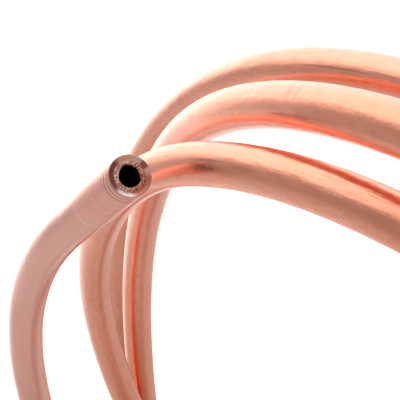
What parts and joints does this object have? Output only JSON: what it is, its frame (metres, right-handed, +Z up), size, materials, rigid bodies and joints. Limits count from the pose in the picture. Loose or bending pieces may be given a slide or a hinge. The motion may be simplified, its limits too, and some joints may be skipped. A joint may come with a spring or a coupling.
{
  "type": "copper tube coil",
  "caption": "Loose coil of soft round copper tube, hollow from cut end to cut end, with open spaced turns.",
  "frame": {"origin": "on the floor, below the middle of the coil as it lies on its side", "axes": "+Z up, along the coil's axis, -Y the way the front cut end points, +X to the right of it"},
  "size_m": [0.296, 0.3153, 0.0606],
  "materials": {
    "copper": "satin-polished copper"
  },
  "bodies": {
    "root": {"copper_tube": "copper"}
  },
  "joints": []
}
